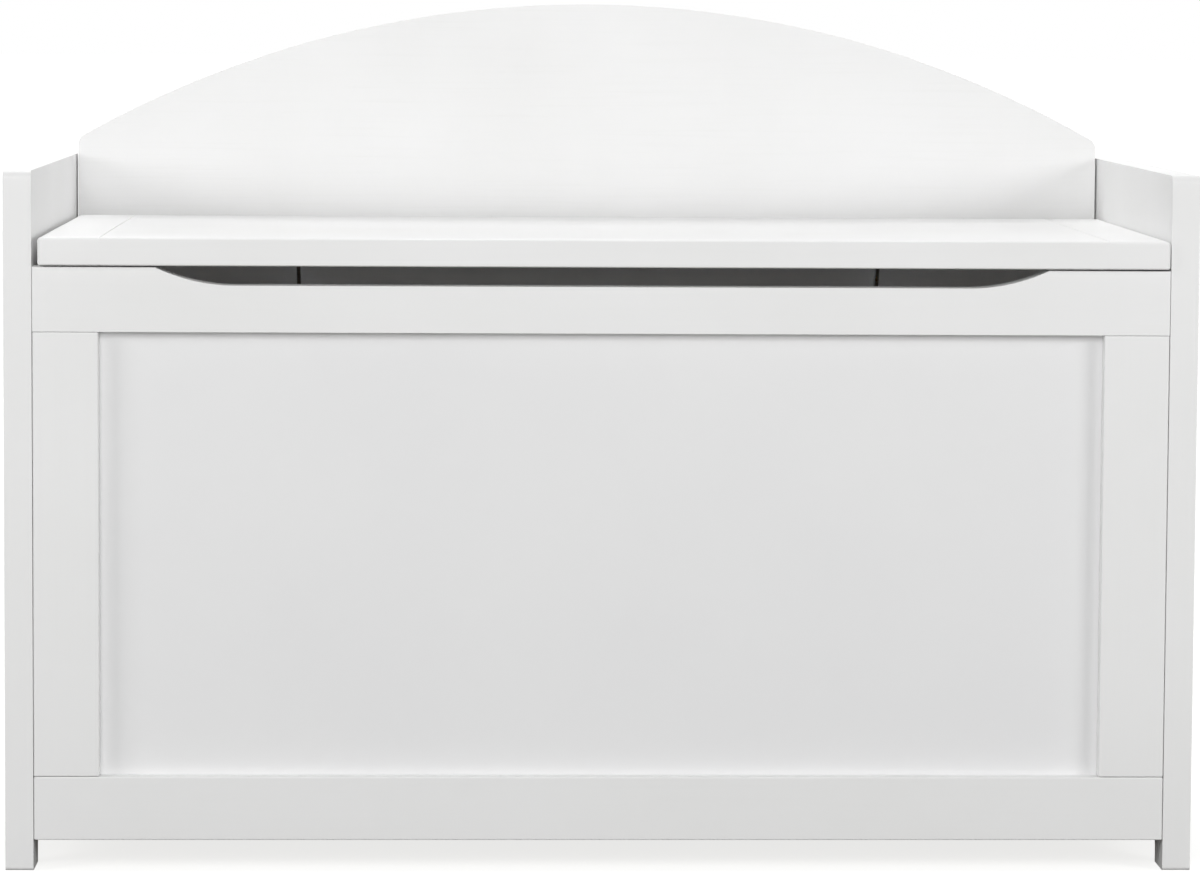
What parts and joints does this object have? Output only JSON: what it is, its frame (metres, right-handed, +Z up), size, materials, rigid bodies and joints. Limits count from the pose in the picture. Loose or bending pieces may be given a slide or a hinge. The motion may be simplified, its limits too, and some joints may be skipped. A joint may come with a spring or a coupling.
{
  "type": "wooden toy box",
  "caption": "White wooden toy box with a bench lid hinged at the rear, raised side panels as arms and an arched backrest; frame-and-panel front with a finger cut-out.",
  "frame": {"origin": "on the floor under the middle of the bounding box", "axes": "+Z up, +X to the right as seen from the front, +Y from the front to the back; the front faces -Y"},
  "size_m": [0.85, 0.404, 0.62],
  "materials": {
    "white_lacquered_wood": "satin white lacquer, roughness 0.45",
    "bare_beech": "planed and unfinished",
    "zinc_plated_steel": "bright zinc plate",
    "clear_rubber": "clear soft rubber"
  },
  "bodies": {
    "chest": {"left_side_panel": "white_lacquered_wood", "right_side_panel": "white_lacquered_wood", "front_top_rail": "white_lacquered_wood", "front_bottom_rail": "white_lacquered_wood", "front_left_stile": "white_lacquered_wood", "front_right_stile": "white_lacquered_wood", "front_panel": "white_lacquered_wood", "arched_backrest": "white_lacquered_wood", "back_bottom_rail": "white_lacquered_wood", "back_left_stile": "white_lacquered_wood", "back_right_stile": "white_lacquered_wood", "back_panel": "white_lacquered_wood", "floor_panel": "bare_beech", "front_floor_cleat": "bare_beech", "back_floor_cleat": "bare_beech", "left_floor_cleat": "bare_beech", "right_floor_cleat": "bare_beech", "bolt_left_front_top": "zinc_plated_steel", "bolt_left_front_bottom": "zinc_plated_steel", "bolt_left_back_top": "zinc_plated_steel", "bolt_left_back_bottom": "zinc_plated_steel", "bolt_right_front_top": "zinc_plated_steel", "bolt_right_front_bottom": "zinc_plated_steel", "bolt_right_back_top": "zinc_plated_steel", "bolt_right_back_bottom": "zinc_plated_steel", "barrel_nut_left_front_top": "zinc_plated_steel", "barrel_nut_left_front_bottom": "zinc_plated_steel", "barrel_nut_left_back_top": "zinc_plated_steel", "barrel_nut_left_back_bottom": "zinc_plated_steel", "barrel_nut_right_front_top": "zinc_plated_steel", "barrel_nut_right_front_bottom": "zinc_plated_steel", "barrel_nut_right_back_top": "zinc_plated_steel", "barrel_nut_right_back_bottom": "zinc_plated_steel", "dowel_left_front_top": "bare_beech", "dowel_left_front_bottom": "bare_beech", "dowel_left_back_top": "bare_beech", "dowel_left_back_bottom": "bare_beech", "dowel_right_front_top": "bare_beech", "dowel_right_front_bottom": "bare_beech", "dowel_right_back_top": "bare_beech", "dowel_right_back_bottom": "bare_beech", "left_hinge_bracket": "zinc_plated_steel", "left_hinge_pin": "zinc_plated_steel", "left_hinge_spring_barrel": "zinc_plated_steel", "right_hinge_bracket": "zinc_plated_steel", "right_hinge_pin": "zinc_plated_steel", "right_hinge_spring_barrel": "zinc_plated_steel"},
    "lid": {"lid_centre_panel": "white_lacquered_wood", "lid_left_end": "white_lacquered_wood", "lid_right_end": "white_lacquered_wood", "left_hinge_lid_leaf": "zinc_plated_steel", "right_hinge_lid_leaf": "zinc_plated_steel", "left_lid_bumper": "clear_rubber", "right_lid_bumper": "clear_rubber"}
  },
  "joints": [
    {"name": "lid_hinge", "type": "hinge", "parent": "chest", "child": "lid", "pos_m": [0, 0.16, 0.4267], "axis": [-1, 0, 0], "range_deg": [0, 78]}
  ]
}
